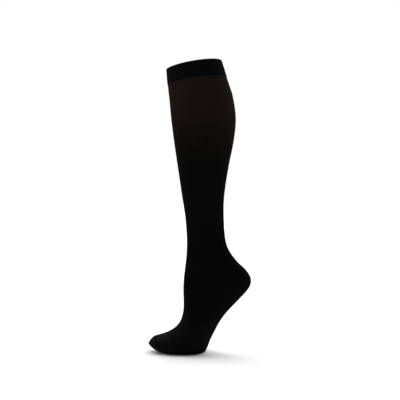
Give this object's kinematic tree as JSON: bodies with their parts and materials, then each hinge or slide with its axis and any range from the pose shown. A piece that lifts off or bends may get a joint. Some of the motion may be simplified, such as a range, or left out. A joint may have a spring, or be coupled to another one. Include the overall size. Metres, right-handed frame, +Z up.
{
  "type": "compression stocking",
  "caption": "Knee-high compression stocking in the hollow shape of a leg on tiptoe: a knitted tube with a doubled welt, a heel pocket and a closed toe, open at the top.",
  "frame": {"origin": "inside the welt, on the axis of the leg, where the calf below the knee holds the stocking up", "axes": "+Z up along the leg, -X to the toes, +X to the heel, Y across; the two sides are alike about Y = 0"},
  "size_m": [0.1778, 0.1122, 0.5057],
  "materials": {
    "welt_knit": "black doubled knit band, matt",
    "leg_knit": "black fine jersey knit, faint brown where it is stretched most, low sheen",
    "heel_knit": "black dense knit, matt",
    "foot_knit": "black fine jersey knit, low sheen",
    "toe_knit": "black dense knit, matt"
  },
  "bodies": {
    "root": {"welt": "welt_knit", "leg": "leg_knit", "heel": "heel_knit", "foot": "foot_knit", "toe": "toe_knit"}
  },
  "joints": []
}
